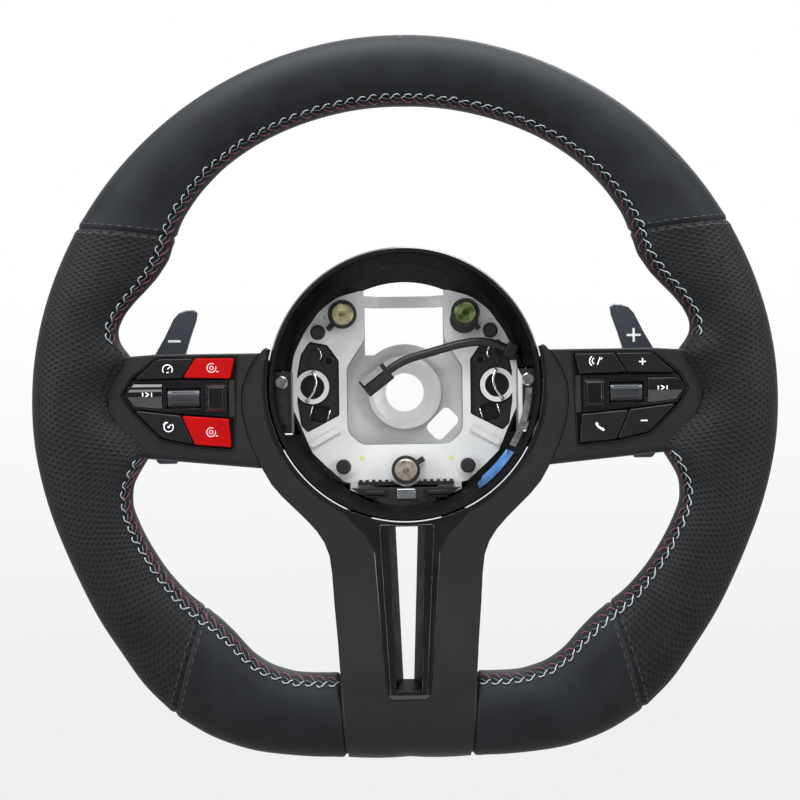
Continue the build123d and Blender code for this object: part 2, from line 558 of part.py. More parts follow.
save("side_insert_left", flip(side_insert))

wire_points = [(46.6, -25.2, 10.6), (44.9, -25.2, 5.6), (46.6, -25.2, 0.6), (49.8, -25.2, -3.8)]
wire_path = FilletPolyline(*wire_points, radius=6.0)
wire = sweep(Plane(origin=wire_path @ 0, z_dir=wire_path % 0) * Circle(0.6), path=wire_path)
for x, z in ((46.6, 10.6), (49.8, -3.8)):
    wire += peg(x, z, 1.1, -25.4, PLATE_FRONT)
save("retaining_wire_right", wire)
save("retaining_wire_left", flip(wire))

lug = block(59.0, 66.0, -44.0, ARM_FRONT, -15.5, 10.8) - block(64.8, 67, -45, -39, 4.6, 12)
lug -= peg(POD_SCREW[0], POD_SCREW[1], 1.8, -46, -39)
for z in (-10.5, -3.5):
    lug += peg(62.0, z, 1.6, -45.2, -43)
save("pod_lug_right", lug)
save("pod_lug_left", flip(lug))
screw = peg(POD_SCREW[0], POD_SCREW[1], 3.3, -46.6, -44.0)
screw += peg(POD_SCREW[0], POD_SCREW[1], 1.7, -45, ARM_REAR - 1)
screw = chamfer(screw.faces().sort_by(Axis.Y)[0].edges(), 0.6)
socket = Pos(POD_SCREW[0], POD_SCREW[1]) * RegularPolygon(1.6, 6)
screw -= slab(socket, -47, -45.2)
save("pod_screws", screw, flip(screw))

# foil-wrapped wiring along the right wall of the hub
wrap_face = disc(0, HUB_Z, 63.6) - disc(0, HUB_Z, 60.4)
wrap_face &= make_face(Polyline((30, 1.4), (90, 1.4), (90, -40), (48.5, -26), close=True))
save("harness_wrap", slab(wrap_face, -47.2, -45.4))

strip = block(-24.5, 24.5, -26.6, PLATE_FRONT, -47.4, -45.6)
for i in range(15):
    x = -23.1 + 3.3 * i
    strip += block(x - 0.8, x + 0.8, -26.0, PLATE_FRONT, -46, -44.6)
strip -= peg(0, -39.6, 8.9, -27, -23)
save("comb_strip", *strip.solids())

beam = make_face(Polyline((-28, -48.6), (28, -48.6), (19, -53.6), (-19, -53.6), close=True))
lower_bracket = slab(beam, -31, -25)
lower_bracket += block(-8.6, 8.6, -35, -27, -54.6, -48.6)
for side in (1, -1):
    near, far = sorted((side * 11.0, side * 21.0))
    lower_bracket += block(near, far, -33.4, -30, -51.6, -50.0)
    lower_bracket += block(near, near + 10, -32.6, -30, -53.4, -52.6)
save("lower_bracket", lower_bracket)
clip = block(-4.6, 4.6, -36.4, -35.0, -54.2, -48.8)
clip = chamfer(clip.edges().filter_by(Axis.X), 0.4)
save("spring_clip", clip)

# heater lead wrapped in blue foil, tucked against the wall of the hub
foil = hub_turned([(64.2, -47.0), (60.2, -45.0), (60.2, -44.4), (63.8, -46.2), (61.8, -35.2),
                   (62.4, -35.2)])
foil &= slab(make_face(Polyline((46, -27.5), (90, -45), (90, -90), (50, -90), (36, -47),
                                close=True)), -50, -30)
save("heater_foil", foil)

# ---------------------------------------------------------------- cable and plug
CABLE_R = 2.25
PLUG_TURN = 37.6
ux, uz = cos(radians(PLUG_TURN)), sin(radians(PLUG_TURN))
PLUG = (-14.3, 6.3)
start = (PLUG[0] + 7.9 * ux, PLUG[1] + 7.9 * uz)
route = [Vector(start[0], -29.0, start[1]), Vector(start[0] + 8 * ux, -29.0, start[1] + 8 * uz),
         Vector(14.0, -30.5, 20.2), Vector(31.0, -31.0, 24.9), Vector(44.0, -30.6, 25.2),
         Vector(51.6, -29.8, 21.6)]
radii = []
for a, b, c in zip(route, route[1:], route[2:]):
    turn = (b - a).get_angle(c - b)
    shorter = min((b - a).length, (c - b).length)
    radii.append(0.45 * shorter / tan(radians(turn) / 2))
cable_path = FilletPolyline(*route, radius=radii)
first = route[1] - route[0]
cable = sweep(Plane(origin=route[0], z_dir=first) * Circle(CABLE_R), path=cable_path)
print("cable radii", [round(r, 1) for r in radii], "length", round(cable_path.length, 1),
      "volume ratio", round(cable.volume / (3.14159265 * CABLE_R ** 2 * cable_path.length), 4))
save("cable", cable)

plug_box = Pos(PLUG[0], 0, PLUG[1]) * Rot(0, -PLUG_TURN, 0) * Pos(0, -29.2, 0)
plug = plug_box * Box(15.8, 7.4, 9.6)
plug -= plug_box * Pos(-6.4, 0, -0.6) * Box(4.2, 4.6, 6.0)
plug += plug_box * Pos(0.4, -3.9, -1.6) * Box(11.0, 1.2, 4.4)
save("plug", plug)
latch = plug_box * Pos(-0.6, -4.4, 3.1) * Box(12.4, 1.2, 3.2)
latch += plug_box * Pos(3.4, -4.0, 3.1) * Box(2.0, 1.2, 3.0)
latch -= plug
save("plug_latch", latch)

last = route[-1] - route[-2]
clip_plane = Plane(origin=route[-1], x_dir=(0, 1, 0), z_dir=last)
cable_clip = clip_plane * Pos(0, 0, 2.6) * Box(7.6, 7.0, 5.2)
cable_clip += block(53.6, 57.4, -29.0, PLATE_FRONT, 15.6, 19.6)
cable_clip -= slab(Circle(100) - disc(0, HUB_Z, 60.6), -40, -20)
save("cable_clip", cable_clip)
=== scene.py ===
import json
import math
import bpy
import numpy as np
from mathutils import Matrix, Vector


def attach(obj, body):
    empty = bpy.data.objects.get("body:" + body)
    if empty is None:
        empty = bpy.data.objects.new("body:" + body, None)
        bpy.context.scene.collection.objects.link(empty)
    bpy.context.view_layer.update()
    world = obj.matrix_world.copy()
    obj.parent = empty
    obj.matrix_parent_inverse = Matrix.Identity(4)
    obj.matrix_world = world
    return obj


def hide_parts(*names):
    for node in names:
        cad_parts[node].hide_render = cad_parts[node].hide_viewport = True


# A road car's steering wheel with its airbag module out, facing the driver (towards -Y).
# Sizes on the wheel are in mm, and MM makes them Blender's metres. The materials' bump depths,
# the camera, the lights and the paper are in metres.
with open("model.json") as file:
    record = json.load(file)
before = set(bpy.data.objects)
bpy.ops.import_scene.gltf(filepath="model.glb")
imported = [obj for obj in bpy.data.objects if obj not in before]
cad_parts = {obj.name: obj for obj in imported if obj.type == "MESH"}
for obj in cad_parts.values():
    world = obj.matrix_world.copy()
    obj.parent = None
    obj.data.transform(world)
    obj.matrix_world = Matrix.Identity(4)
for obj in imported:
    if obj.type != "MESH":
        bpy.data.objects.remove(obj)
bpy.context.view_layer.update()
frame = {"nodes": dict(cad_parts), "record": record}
NODES = frame["nodes"]
SLOT = {s["node"]: s["material_slot"] for s in frame["record"]["subparts"]}
MM = 0.001
ROOT = "wheel"
SIDES = ((1, "right"), (-1, "left"))


# ---------------------------------------------------------------- shader helpers
def shader(name, base, rough, metal=0.0, **extra):
    """Material, node tree and Principled shader; extra sets more of the shader's sockets."""
    m = bpy.data.materials.new(name)
    m.use_nodes = True
    nt = m.node_tree
    b = nt.nodes["Principled BSDF"]
    b.inputs["Base Color"].default_value = (*base, 1)
    b.inputs["Roughness"].default_value = rough
    b.inputs["Metallic"].default_value = metal
    for key, value in extra.items():
        b.inputs[key.replace("_", " ")].default_value = value
    return m, nt, b


def math_node(nt, op, a, b=None):
    n = nt.nodes.new("ShaderNodeMath")
    n.operation = op
    for i, v in enumerate((a, b)):
        if v is None:
            continue
        if isinstance(v, (int, float)):
            n.inputs[i].default_value = v
        else:
            nt.links.new(v, n.inputs[i])
    return n.outputs[0]


def coords(nt, kind="Object", stretch=None):
    out = nt.nodes.new("ShaderNodeTexCoord").outputs[kind]
    if stretch:
        mp = nt.nodes.new("ShaderNodeMapping")
        mp.inputs["Scale"].default_value = stretch
        nt.links.new(out, mp.inputs["Vector"])
        out = mp.outputs["Vector"]
    return out


def noise(nt, scale, vec=None, detail=3.0, rough=0.5):
    n = nt.nodes.new("ShaderNodeTexNoise")
    n.inputs["Scale"].default_value = scale
    n.inputs["Detail"].default_value = detail
    n.inputs["Roughness"].default_value = rough
    nt.links.new(vec if vec is not None else coords(nt), n.inputs["Vector"])
    return n.outputs["Fac"]


def cell_edges(nt, scale):
    """Distance to the nearest edge of a pattern of cells."""
    n = nt.nodes.new("ShaderNodeTexVoronoi")
    n.feature = "DISTANCE_TO_EDGE"
    n.inputs["Scale"].default_value = scale
    nt.links.new(coords(nt), n.inputs["Vector"])
    return n.outputs["Distance"]


def span(nt, value, a, b, c, d):
    """Value carried from the range a to b into the range c to d."""
    n = nt.nodes.new("ShaderNodeMapRange")
    for key, v in zip(("From Min", "From Max", "To Min", "To Max"), (a, b, c, d)):
        n.inputs[key].default_value = v
    nt.links.new(value, n.inputs["Value"])
    return n.outputs["Result"]


FACTOR, COLOUR_A, COLOUR_B, COLOUR_OUT = 0, 6, 7, 2      # sockets of a Mix node set to colour


def mix_colour(nt, fac, a, b):
    n = nt.nodes.new("ShaderNodeMix")
    n.data_type = "RGBA"
    nt.links.new(fac, n.inputs[FACTOR])
    for key, v in ((COLOUR_A, a), (COLOUR_B, b)):
        if isinstance(v, tuple):
            n.inputs[key].default_value = (*v, 1)
        else:
            nt.links.new(v, n.inputs[key])
    return n.outputs[COLOUR_OUT]


def bump(nt, b, height, distance, strength=1.0, normal=None):
    n = nt.nodes.new("ShaderNodeBump")
    n.inputs["Distance"].default_value = distance
    n.inputs["Strength"].default_value = strength
    nt.links.new(height, n.inputs["Height"])
    if normal is not None:
        nt.links.new(normal, n.inputs["Normal"])
    nt.links.new(n.outputs["Normal"], b.inputs["Normal"])
    return n.outputs["Normal"]


def tint(nt, b, base, amount, scale):
    """Slight uneven colour over a surface."""
    dark = tuple(c * (1 - amount) for c in base)
    light = tuple(min(1.0, c * (1 + amount)) for c in base)
    fac = span(nt, noise(nt, scale, detail=4.0), 0.3, 0.7, 0.0, 1.0)
    nt.links.new(mix_colour(nt, fac, dark, light), b.inputs["Base Color"])


# ---------------------------------------------------------------- materials
PITCH_ALONG, PITCH_ROUND = 2.9, 4.2       # mm between the holes of the perforated leather


def hole_distance(nt):
    """Distance in mm to the nearest hole, on two grids half a pitch apart."""
    sep = nt.nodes.new("ShaderNodeSeparateXYZ")
    nt.links.new(coords(nt, "UV"), sep.inputs[0])
    near = None
    for shift in (0.0, 0.5):
        squares = []
        for axis, pitch in enumerate((PITCH_ALONG, PITCH_ROUND)):
            cell = math_node(nt, "FRACT", math_node(nt, "ADD", math_node(
                nt, "DIVIDE", sep.outputs[axis], pitch), shift))
            d = math_node(nt, "MULTIPLY", math_node(nt, "SUBTRACT", cell, 0.5), pitch)
            squares.append(math_node(nt, "MULTIPLY", d, d))
        r = math_node(nt, "SQRT", math_node(nt, "ADD", *squares))
        near = r if near is None else math_node(nt, "MINIMUM", near, r)
    return near


def make_leather(name, base, perforated):
    """Grained leather with slight unevenness, and holes in staggered rows if perforated."""
    m, nt, b = shader(name, base, 0.55, Specular_IOR_Level=0.13, Sheen_Weight=0.02,
                      Sheen_Roughness=0.45)
    grain = cell_edges(nt, 1150.0)
    fine = noise(nt, 2600.0, detail=2.0)
    soft = noise(nt, 55.0, detail=3.0)
    height = math_node(nt, "ADD", span(nt, grain, 0.0, 0.10, 0.0, 1.0),
                       math_node(nt, "MULTIPLY", fine, 0.5))
    dark = tuple(c * 0.82 for c in base)
    light = tuple(c * 1.22 for c in base)
    colour = mix_colour(nt, span(nt, soft, 0.35, 0.65, 0.0, 1.0), dark, light)
    rough = span(nt, soft, 0.3, 0.7, 0.48, 0.60)
    normal = bump(nt, b, height, 0.00005, 0.55)
    if perforated:
        near = hole_distance(nt)
        hole = span(nt, near, 0.40, 0.62, 1.0, 0.0)
        lip = span(nt, near, 0.40, 0.95, 0.0, 1.0)
        normal = bump(nt, b, lip, 0.00035, 0.8, normal)
        # the holes are painted near-black: painted shade in place of their depth
        colour = mix_colour(nt, hole, colour, (0.004, 0.004, 0.004))
        rough = math_node(nt, "ADD", rough, math_node(nt, "MULTIPLY", hole, 0.3))
    nt.links.new(colour, b.inputs["Base Color"])
    nt.links.new(rough, b.inputs["Roughness"])
    return m


def make_plastic(name, base, rough, grain, depth, amount=0.12, **extra):
    """Moulded plastic with a fine grain; amount is how uneven its colour is."""
    m, nt, b = shader(name, base, rough, **extra)
    tint(nt, b, base, amount, 70.0)
    nt.links.new(span(nt, noise(nt, 120.0), 0.3, 0.7, rough * 0.92, min(1.0, rough * 1.1)),
                 b.inputs["Roughness"])
    bump(nt, b, noise(nt, grain * 2, detail=3.0), depth, 0.6)
    return m


def make_gloss(name, base):
    """Lacquered black with a faint ripple."""
    m, nt, b = shader(name, base, 0.09, Specular_IOR_Level=0.6, Coat_Weight=1.0,
                      Coat_Roughness=0.03, Coat_IOR=1.52)
    tint(nt, b, base, 0.3, 40.0)
    nt.links.new(span(nt, noise(nt, 60.0, detail=5.0), 0.35, 0.75, 0.06, 0.16),
                 b.inputs["Roughness"])
    bump(nt, b, noise(nt, 90.0, detail=1.0), 0.00004, 0.25)
    return m


def make_cast(name, base, smoothest, roughest, grain, depth):
    """Bare cast magnesium with a coarse skin."""
    m, nt, b = shader(name, base, 0.4, 0.25, Specular_IOR_Level=0.6)
    vec = coords(nt)
    coarse = noise(nt, 28.0, vec, 5.0, 0.6)
    fac = span(nt, coarse, 0.3, 0.7, 0.0, 1.0)
    nt.links.new(mix_colour(nt, fac, tuple(c * 0.86 for c in base), base), b.inputs["Base Color"])
    nt.links.new(span(nt, noise(nt, 160.0, vec), 0.3, 0.7, smoothest, roughest),
                 b.inputs["Roughness"])
    h = math_node(nt, "ADD", noise(nt, grain, vec, 4.0, 0.65), math_node(
        nt, "MULTIPLY", noise(nt, grain * 0.12, vec, 2.0), 1.5))
    bump(nt, b, h, depth, 0.7)
    return m


def make_metal(name, base, rough, stretch, scale, depth=0.00002, metal=1.0):
    """Metal whose fine lines run across the axis that stretch enlarges."""
    m, nt, b = shader(name, base, rough, metal)
    vec = coords(nt, stretch=stretch)
    lines = noise(nt, scale, vec, 2.0)
    nt.links.new(mix_colour(nt, span(nt, lines, 0.3, 0.7, 0, 1), tuple(c * 0.85 for c in base),
                            base), b.inputs["Base Color"])
    nt.links.new(span(nt, lines, 0.3, 0.7, rough * 0.8, rough * 1.25), b.inputs["Roughness"])
    bump(nt, b, lines, depth, 0.5)
    return m


def make_zinc(name, dark, light):
    """Passivated zinc plating, unevenly coloured."""
    m, nt, b = shader(name, light, 0.3, 1.0)
    fac = span(nt, noise(nt, 90.0, detail=3.0), 0.3, 0.7, 0, 1)
    nt.links.new(mix_colour(nt, fac, dark, light), b.inputs["Base Color"])
    nt.links.new(span(nt, noise(nt, 300.0), 0.3, 0.7, 0.22, 0.42), b.inputs["Roughness"])
    bump(nt, b, noise(nt, 900.0), 0.00004, 0.4)
    return m


def make_wrinkled(name, base):
    """Rubbery skin with folds that run from front to back."""
    m, nt, b = shader(name, base, 0.42, IOR=1.04)
    tint(nt, b, base, 0.3, 80.0)
    folds = noise(nt, 90.0, coords(nt, stretch=(1, 0.12, 1)), 4.0, 0.6)
    height = math_node(nt, "ADD", folds, math_node(nt, "MULTIPLY", noise(nt, 420.0), 0.15))
    bump(nt, b, height, 0.0022, 0.8)
    return m


def make_thread(name, base):
    """Twisted sewing thread."""
    m, nt, b = shader(name, base, 0.55, Sheen_Weight=0.3, Specular_IOR_Level=0.5)
    tint(nt, b, base, 0.2, 900.0)
    bump(nt, b, noise(nt, 5200.0, detail=2.0), 0.0001, 0.8)
    return m


SMOOTH = (0.0100, 0.0113, 0.0132)
M = {
    "leather_smooth": make_leather("leather_smooth", SMOOTH, False),
    "leather_perforated": make_leather("leather_perforated", (0.0098, 0.0106, 0.0118), True),
    "cast_armature": make_cast("cast_armature", (0.88, 0.88, 0.875), 0.28, 0.46, 520.0, 0.00030),
    "foam": make_plastic("foam", (0.05, 0.05, 0.05), 0.9, 300.0, 0.0004),
    # darker copy of the cast: painted shade on the side walls of the plate's openings
    "cast_wall_shade": make_cast("cast_wall_shade", (0.20, 0.20, 0.205), 0.35, 0.5, 900.0, 0.00012),
    "ring_satin": make_plastic("ring_satin", (0.006, 0.006, 0.0065), 0.30, 500.0, 0.00003,
                               IOR=1.32),
    "gloss_black": make_gloss("gloss_black", (0.006, 0.006, 0.007)),
    "trim_matte": make_plastic("trim_matte", (0.0120, 0.0128, 0.0140), 0.46, 700.0, 0.00002,
                               0.08, Specular_IOR_Level=0.22),
    "button_red": make_plastic("button_red", (0.36, 0.0030, 0.0032), 0.60, 900.0, 0.00002, 0.06,
                               Specular_IOR_Level=0.05),
    "button_black": make_plastic("button_black", (0.008, 0.0085, 0.0095), 0.36, 900.0, 0.00002,
                                 Specular_IOR_Level=0.22),
    "roller_satin": make_plastic("roller_satin", (0.022, 0.024, 0.027), 0.3, 900.0, 0.00002),
    "paddle_grey": make_metal("paddle_grey", (0.11, 0.122, 0.145), 0.38, (1, 1, 6), 700.0,
                              0.00002, 0.55),
    "bright_steel": make_metal("bright_steel", (0.82, 0.82, 0.82), 0.2, (1, 1, 1), 900.0),
    "zinc_yellow": make_zinc("zinc_yellow", (0.50, 0.48, 0.22), (0.86, 0.80, 0.50)),
    "zinc_green": make_zinc("zinc_green", (0.16, 0.24, 0.06), (0.55, 0.62, 0.30)),
    "zinc_brown": make_zinc("zinc_brown", (0.34, 0.26, 0.18), (0.80, 0.72, 0.60)),
    "rubber_black": make_plastic("rubber_black", (0.006, 0.006, 0.0065), 0.6, 800.0, 0.00004),
    "foil_blue": make_plastic("foil_blue", (0.015, 0.075, 0.20), 0.25, 160.0, 0.0009, 0.9,
                              Coat_Weight=0.6),
    "foil_silver": make_metal("foil_silver", (0.34, 0.34, 0.31), 0.30, (1, 1, 1), 260.0,
                              0.0012),
    "clip_grey": make_metal("clip_grey", (0.30, 0.31, 0.32), 0.35, (6, 1, 1), 400.0),
    "latch_grey": make_plastic("latch_grey", (0.22, 0.22, 0.225), 0.4, 900.0, 0.00002),
    "black_plastic": make_plastic("black_plastic", (0.0065, 0.0065, 0.007), 0.42, 600.0, 0.00005),
    "bowl_wall": make_wrinkled("bowl_wall", (0.0055, 0.0055, 0.006)),
    # near-black and unreflective: painted shade on walls in recesses and between parts
    "dark_wall": make_plastic("dark_wall", (0.003, 0.003, 0.003), 0.5, 300.0, 0.00004, 0.2,
                              Specular_IOR_Level=0.02),
    "chrome_edge": make_metal("chrome_edge", (0.75, 0.78, 0.80), 0.16, (1, 1, 1), 300.0),
    # the marks glow a little: painted light that keeps them bright on keys and paddles in shade
    "icon_white": make_plastic("icon_white", (0.80, 0.82, 0.84), 0.5, 900.0, 0.00001, 0.04,
                               Emission_Color=(0.9, 0.92, 0.95, 1), Emission_Strength=0.34),
    "icon_rose": make_plastic("icon_rose", (0.82, 0.58, 0.58), 0.5, 900.0, 0.00001, 0.04,
                              Emission_Color=(0.95, 0.70, 0.70, 1), Emission_Strength=0.18),
    "thread_white": make_thread("thread_white", (0.36, 0.38, 0.40)),
    "thread_red": make_thread("thread_red", (0.13, 0.007, 0.028)),
    "thread_teal": make_thread("thread_teal", (0.025, 0.065, 0.085)),
    "thread_black": make_thread("thread_black", (0.012, 0.012, 0.013)),
    "paint_dot": make_plastic("paint_dot", (0.62, 0.66, 0.22), 0.45, 900.0, 0.00002),
}


def dress(node, material, bevel=None):
    """Material and softened edges on a CAD node."""
    o = NODES[node]
    o.data.materials.clear()
    o.data.materials.append(M[material])
    if bevel:
        weld = o.modifiers.new("weld", "WELD")
        weld.merge_threshold = 0.00002
        flat = o.modifiers.new("flat", "DECIMATE")
        flat.decimate_type = "DISSOLVE"
        flat.angle_limit = math.radians(1.0)
        soft = o.modifiers.new("soft", "BEVEL")
        soft.limit_method = "ANGLE"
        soft.angle_limit = math.radians(38)
        soft.width = bevel * MM
        soft.segments = 3
        soft.harden_normals = False
        for p in o.data.polygons:
            p.use_smooth = True
        if "custom_normal" in o.data.attributes:
            o.data.attributes.remove(o.data.attributes["custom_normal"])
        smooth = o.modifiers.new("shade", "WEIGHTED_NORMAL")
        smooth.keep_sharp = False
        smooth.weight = 80


# width of the softened edges in mm, by the node's name without its side
BEVELS = {"lower_trim": 2.4, "slot_insert": 1.3, "spoke_cover": 1.0, "rear_cover": 0.8,
          "hub_surround": 0.6, "armature": 0.6, "gloss_bar": 0.6, "paddle_bracket": 0.5,
          "cable_clip": 0.5, "mode_key": 0.45, "paddle": 0.4, "lower_bracket": 0.4,
          "pod_lug": 0.4, "plug": 0.35, "side_insert": 0.35, "switch_housing": 0.25,
          "spring_clip": 0.2, "comb_strip": 0.15, "plug_latch": 0.15}
LOOKS = {"rear_cover": "bowl_wall", "hub_surround": "ring_satin"}    # finer than their slots
for node in NODES:
    kind = node.removesuffix("_left").removesuffix("_right")
    bevel = 0.45 if kind.startswith("button") else BEVELS.get(kind)
    dress(node, LOOKS.get(node, SLOT[node]), bevel)


def repaint(node, material, chosen):
    """Gives the faces that chosen(centre, normal) picks, in mm, a second material."""
    me = NODES[node].data
    me.materials.append(M[material])
    slot = len(me.materials) - 1
    for p in me.polygons:
        if chosen(p.center / MM, p.normal):
            p.material_index = slot


HUB_Z = 4.0                                # height of the hub surround's centre, mm


def hub_distance(c):
    return math.hypot(c.x, c.z - HUB_Z)


# inner wall of the hub surround in its wrinkled skin, and its outer wall over the gloss crescent
# near-black and unreflective as painted shade
repaint("hub_surround", "bowl_wall",
        lambda c, n: hub_distance(c) < 66.0 and abs(n.y) < 0.75
        and n.x * c.x + n.z * (c.z - HUB_Z) < 0)
repaint("hub_surround", "dark_wall", lambda c, n: hub_distance(c) > 66.6 and c.z < -30)
# front of the arms out of the pocket, side walls of the plate's openings darkened as painted shade,
# and the lower legs painted near-black as painted shade
repaint("armature", "black_plastic",
        lambda c, n: 56.6 < abs(c.x) < 140 and c.y < -24.3 and abs(c.z + 4.5) < 17)
repaint("armature", "cast_wall_shade",
        lambda c, n: abs(n.y) < 0.4 and c.y < -3.5 and hub_distance(c) < 61
        and math.hypot(c.x, c.z) > 12)
repaint("armature", "dark_wall", lambda c, n: c.z < -57 and abs(c.x) < 32)
# the three studs differ in their plating
repaint("airbag_studs", "zinc_green", lambda c, n: c.x > 10 and c.z > 0)
repaint("airbag_studs", "zinc_brown", lambda c, n: c.z < 0)
# the slot's deep inner walls near-black and unreflective: painted shade
repaint("slot_insert", "dark_wall",
        lambda c, n: abs(n.y) < 0.6 and abs(c.x) < 11.6 and c.z < -66.2)
# bright chrome on the faces at the tips of the paddles that face outward and up
for paddle in ("paddle_left", "paddle_right"):
    repaint(paddle, "chrome_edge",
            lambda c, n: abs(n.y) < 0.45 and n.x * c.x + 0.6 * abs(c.x) * n.z > 0 and c.z > 12)


# ---------------------------------------------------------------- mesh helpers
def add_mesh(name, verts, faces, material, body=ROOT, smooth=True):
    me = bpy.data.meshes.new(name)
    me.from_pydata([tuple(v) for v in verts], [], [tuple(f) for f in faces])
    me.validate()
    me.update()
    o = bpy.data.objects.new(name, me)
    bpy.context.scene.collection.objects.link(o)
    if smooth:
        for p in me.polygons:
            p.use_smooth = True
    me.materials.append(M[material])
    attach(o, body)
    return o


TUBE_UP = (0.31, 0.87, 0.38)               # a direction that no short tube runs along


def tube_mesh(paths, radius, sides=6):
    """Vertices and faces of round tubes with narrow ends along short paths, in metres."""
    verts, faces = [], []
    for path in paths:
        pts = np.array(path, float)
        tang = np.gradient(pts, axis=0)
        tang /= np.linalg.norm(tang, axis=1)[:, None]
        u = np.cross(tang, TUBE_UP)
        u /= np.linalg.norm(u, axis=1)[:, None]
        v = np.cross(tang, u)
        n = len(pts)
        taper = np.ones(n)
        taper[0] = taper[-1] = 0.55
        base = len(verts)
        for i in range(n):
            for k in range(sides):
                t = 2 * math.pi * k / sides
                verts.append(pts[i] + radius * taper[i] * (math.cos(t) * u[i] + math.sin(t) * v[i]))
        for i in range(n - 1):
            for k in range(sides):
                a, c = base + i * sides + k, base + i * sides + (k + 1) % sides
                faces.append((a, a + sides, c + sides, c))
        faces.append(tuple(base + k for k in range(sides)))
        faces.append(tuple(base + (n - 1) * sides + k for k in reversed(range(sides))))
    return verts, faces


# ---------------------------------------------------------------- rim leather
# Angles are in degrees from the top of the wheel; both halves are alike.
RIM_Y, HALF_DEPTH = -45.0, 15.5            # the rim's middle plane and half its thickness, mm
# radius of the rim's outer edge, mm
RIM_OUTER = [(0, 178.5), (15, 178.8), (30, 179.6), (42, 180.6), (50, 181.4), (61, 182.7),
             (71, 184.1), (84, 185.9), (98, 187.1), (114, 187.1), (120, 188.2), (126, 190.4),
             (132, 192.4), (138, 196.2), (144, 197.8), (150, 197.4), (156, 194.7), (162, 190.0),
             (170, 184.6), (180, 182.0)]
# radius of the rim's inner edge, mm
RIM_INNER = [(0, 142.5), (17, 143.1), (30, 143.8), (38, 143.6), (45, 142.3), (51, 140.4),
             (56, 137.4), (60, 134.8), (64.5, 136.0), (68, 138.9), (71, 142.3), (74, 145.2),
             (77, 146.6), (79.5, 144.5), (82.5, 136.0), (86, 141.5), (91, 147.0), (95, 143.5),
             (99, 133.5), (102.5, 129.0), (105.5, 136.5), (108, 143.0), (112, 147.2),
             (118, 147.8), (126, 148.0), (132, 147.4), (136, 146.2), (140, 145.4), (144, 146.6),
             (149, 150.2), (153, 151.2), (158, 149.6), (164, 145.0), (170, 141.5), (180, 139.5)]
# how far the section leans from the radial line, degrees
RIM_LEAN = [(0, 0), (35, 0.6), (59, 4.0), (74, 1.0), (90, 0), (120, 1.0), (140, 4.0),
            (156, 1.0), (168.3, 2.2), (174, 1.0), (180, 0)]
UPPER_SEAM, LOWER_SEAM, TRIM_SEAM = 59.0, 140.0, 168.3

GRID_STEP = 0.1
GRID = np.arange(-20, 200.01, GRID_STEP)


def smooth_table(table, blur):
    """The table as a fine curve with its corners rounded, mirrored at both ends."""
    x, y = np.array(table, float).T
    fold = np.abs(GRID)
    fold = np.where(fold > 180, 360 - fold, fold)
    kernel = np.hanning(2 * int(blur / GRID_STEP) + 1)
    return GRID, np.convolve(np.interp(fold, x, y), kernel / kernel.sum(), mode="same")


OUTER = smooth_table(RIM_OUTER, 3.5)
INNER = smooth_table(RIM_INNER, 2.2)
LEAN = smooth_table(RIM_LEAN, 5.0)


def rim_frame(a):
    """Centre, half width and outward direction of the section at each angle a >= 0."""
    lean = np.interp(a, *LEAN)
    ao, ai = np.radians(a + lean), np.radians(a - lean)
    ro, ri = np.interp(a + lean, *OUTER), np.interp(a - lean, *INNER)
    xo, zo = ro * np.sin(ao), ro * np.cos(ao)
    xi, zi = ri * np.sin(ai), ri * np.cos(ai)
    half = np.hypot(xo - xi, zo - zi) / 2
    return (xo + xi) / 2, (zo + zi) / 2, half, (xo - xi) / (2 * half), (zo - zi) / (2 * half)


SEAM_PHI = math.radians(180 + 35)          # the stitched seam: front face, near the inner edge
SEAM_RADIUS = 16.5                         # mm round the section per radian, at the seam
SQUARENESS = 2.0 / 2.12                    # power of the section's superellipse; 1 is an ellipse


def rim_point(a, phi, lift, side):
    """Point on the leather at angle a, round the section by phi, raised by lift, in mm."""
    cx, cz, half, ux, uz = rim_frame(a)
    c, s = np.cos(phi), np.sin(phi)
    nx, ny = c / half, s / HALF_DEPTH
    rise = lift / np.hypot(nx, ny)
    across = half * np.sign(c) * np.abs(c) ** SQUARENESS + rise * nx
    deep = HALF_DEPTH * np.sign(s) * np.abs(s) ** SQUARENESS + rise * ny
    x, z = cx + across * ux, cz + across * uz
    return np.stack([side * x, RIM_Y + deep + 0 * x, z], axis=-1)


def groove(phi):
    """Shallow valley of the stitched seam round the section."""
    mm = ((phi - SEAM_PHI + math.pi) % (2 * math.pi) - math.pi) * SEAM_RADIUS
    return -0.75 * np.exp(-(mm / 0.75) ** 2) + 0.25 * np.exp(-((np.abs(mm) - 2.3) / 1.1) ** 2)


ROW_STEP = 0.45                            # degrees between rows of points
PHIS = np.linspace(0, 2 * math.pi, 145)[:-1]
SEAM_GAP = 0.03                            # degrees left open at a seam
MM_PER_DEGREE = 2.9                        # along the rim
SUNK = 0.28                                # mm below the rim's nominal surface
UV_ALONG, UV_ROUND = 2.93, 108.0           # mm along the rim per degree, and round the section


def leather_half(start, stop, side, open_start):
    """Points, faces and row angles of leather that tucks in at its seams, on one side."""
    lo, hi = start + SEAM_GAP * open_start, stop - SEAM_GAP
    angles = np.linspace(lo, hi, int((stop - start) / ROW_STEP) + 1)
    rows = []
    for a in angles:
        from_stop = (hi - a) * MM_PER_DEGREE
        near = min(from_stop, (a - lo) * MM_PER_DEGREE) if open_start else from_stop
        deep = 1.6 if stop == TRIM_SEAM and from_stop < 8 else 0.75
        sink = deep * math.exp(-(near / 0.75) ** 2)
        swell = 0.16 * math.exp(-((near - 3.0) / 1.4) ** 2)
        rows.append(rim_point(np.full_like(PHIS, a), PHIS, groove(PHIS) - sink + swell - SUNK,
                              side))
    m = len(PHIS)
    faces = []
    for i in range(len(rows) - 1):
        for k in range(m):
            p, q = i * m + k, i * m + (k + 1) % m
            quad = (p, q, q + m, p + m)
            faces.append(quad if side > 0 else quad[::-1])
    return np.concatenate(rows) * MM, faces, angles


